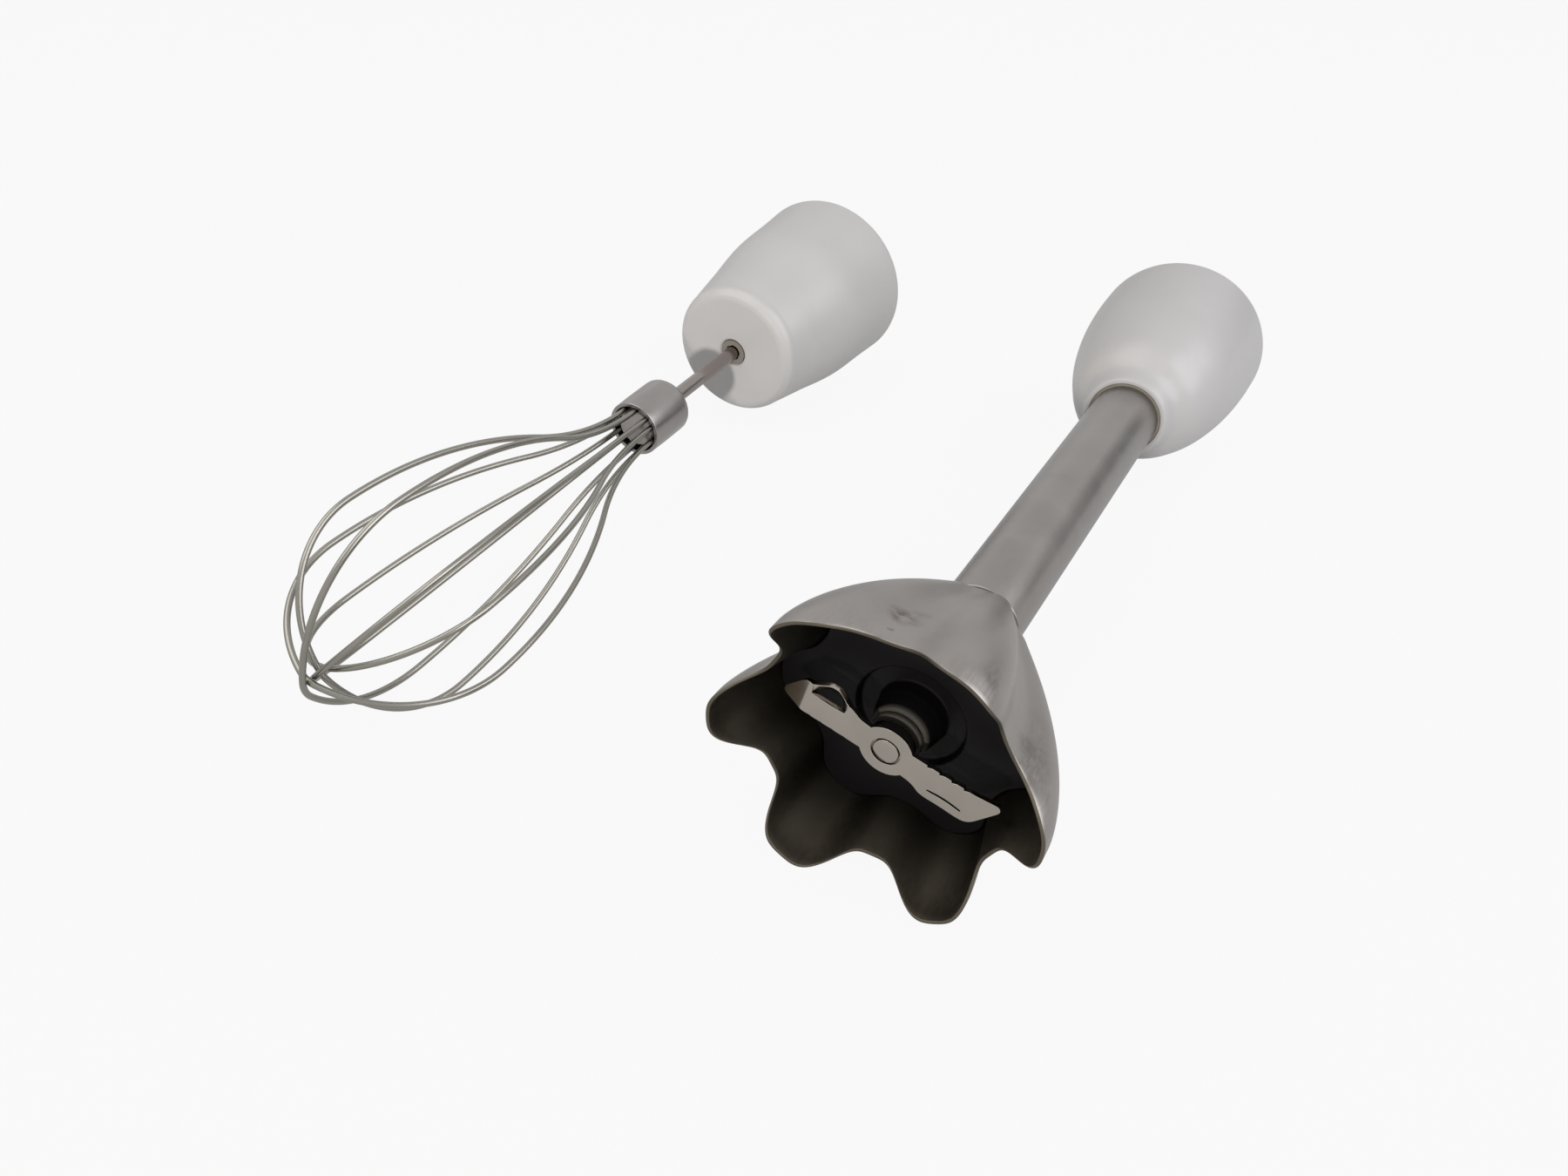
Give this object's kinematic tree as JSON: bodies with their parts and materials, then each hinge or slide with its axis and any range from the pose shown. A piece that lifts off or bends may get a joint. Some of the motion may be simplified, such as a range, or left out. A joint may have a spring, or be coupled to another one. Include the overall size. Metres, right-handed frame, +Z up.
{
  "type": "immersion blender attachments",
  "caption": "Immersion blender attachments: a steel blending foot with a fluted bell guard and blade, and a balloon whisk with its planetary gearbox.",
  "frame": {"origin": "on the table, under the middle of the two tools' overall box", "axes": "+X along both tool axes, from the working ends towards the couplings; +Y from the foot towards the whisk; +Z up"},
  "size_m": [0.252, 0.1802, 0.0621],
  "materials": {
    "bell_steel": "deep-drawn stainless sheet, satin brushed",
    "tube_steel": "stainless tube, fine lengthwise brushing",
    "blade_steel": "stamped stainless blade, tumbled",
    "shaft_steel": "ground steel",
    "wire_steel": "bright drawn stainless wire",
    "ferrule_steel": "polished stainless cup",
    "white_plastic": "white ABS, satin gloss",
    "inner_plastic": "off-white moulded plastic",
    "black_plastic": "black moulded plastic",
    "gear_plastic": "natural acetal",
    "grey_seal": "grey lip seal",
    "dark_seal": "black rubber",
    "bush_bronze": "sintered bronze",
    "screw_steel": "zinc plated"
  },
  "bodies": {
    "blending_foot": {"foot_collar": "white_plastic", "foot_coupling_sleeve": "inner_plastic", "collar_seal_ring": "dark_seal", "foot_tube": "tube_steel", "tube_retaining_ring": "shaft_steel", "bell_guard": "bell_steel", "bell_liner": "black_plastic", "shaft_seal": "grey_seal", "lower_bush": "bush_bronze", "shaft_sleeve": "inner_plastic", "bearing_carrier": "inner_plastic", "upper_bush": "bush_bronze", "carrier_o_ring": "dark_seal"},
    "blade_shaft": {"drive_shaft": "shaft_steel", "foot_drive_coupler": "black_plastic", "shaft_circlip": "shaft_steel", "thrust_washer": "shaft_steel", "blade_boss": "shaft_steel", "blade": "blade_steel", "blade_rivet": "blade_steel"},
    "whisk_gearbox": {"gearbox_housing": "white_plastic", "gearbox_coupling_sleeve": "inner_plastic", "gearbox_plate": "inner_plastic", "gearbox_screws": "screw_steel", "ring_gear": "gear_plastic", "input_bush": "bush_bronze", "output_bush": "bush_bronze", "socket_seal": "dark_seal"},
    "gearbox_input": {"whisk_drive_coupler": "black_plastic", "input_shaft": "shaft_steel", "sun_gear": "shaft_steel"},
    "gearbox_output": {"planet_carrier": "inner_plastic", "planet_pins": "shaft_steel", "socket_clip": "shaft_steel"},
    "whisk": {"whisk_shaft": "shaft_steel", "whisk_ferrule": "ferrule_steel", "ferrule_plug": "grey_seal", "wire_loop_1": "wire_steel", "wire_loop_2": "wire_steel", "wire_loop_3": "wire_steel", "wire_loop_4": "wire_steel", "wire_loop_5": "wire_steel"},
    "planet_1": {"planet_gear_1": "gear_plastic"},
    "planet_2": {"planet_gear_2": "gear_plastic"},
    "planet_3": {"planet_gear_3": "gear_plastic"}
  },
  "joints": [
    {"name": "blade_spin", "type": "hinge", "parent": "blending_foot", "child": "blade_shaft", "pos_m": [-0.09102, -0.0559, 0.03091], "axis": [0.9998, 0, -0.0221], "continuous": true},
    {"name": "whisk_lift", "type": "slide", "parent": "blending_foot", "child": "whisk_gearbox", "axis": [0, 0, 1], "range_m": [0, 0.15]},
    {"name": "input_spin", "type": "hinge", "parent": "whisk_gearbox", "child": "gearbox_input", "pos_m": [0.0696, 0.0625, 0.02643], "axis": [0.9996, 0, 0.0288], "continuous": true},
    {"name": "carrier_spin", "type": "hinge", "parent": "whisk_gearbox", "child": "gearbox_output", "pos_m": [0.06645, 0.0625, 0.02634], "axis": [0.9996, 0, 0.0288], "continuous": true},
    {"name": "whisk_pull", "type": "slide", "parent": "gearbox_output", "child": "whisk", "axis": [-0.9996, 0, -0.0288], "range_m": [0, 0.0198]},
    {"name": "planet_1_spin", "type": "hinge", "parent": "gearbox_output", "child": "planet_1", "pos_m": [0.0696, 0.0721, 0.02643], "axis": [0.9996, 0, 0.0288], "continuous": true},
    {"name": "planet_2_spin", "type": "hinge", "parent": "gearbox_output", "child": "planet_2", "pos_m": [0.06936, 0.0577, 0.03474], "axis": [0.9996, 0, 0.0288], "continuous": true},
    {"name": "planet_3_spin", "type": "hinge", "parent": "gearbox_output", "child": "planet_3", "pos_m": [0.06983, 0.0577, 0.01812], "axis": [0.9996, 0, 0.0288], "continuous": true}
  ],
  "couplings": [
    {"joint": "input_spin", "follows": "carrier_spin", "ratio": 4},
    {"joint": "planet_1_spin", "follows": "carrier_spin", "ratio": -3},
    {"joint": "planet_2_spin", "follows": "carrier_spin", "ratio": -3},
    {"joint": "planet_3_spin", "follows": "carrier_spin", "ratio": -3}
  ]
}
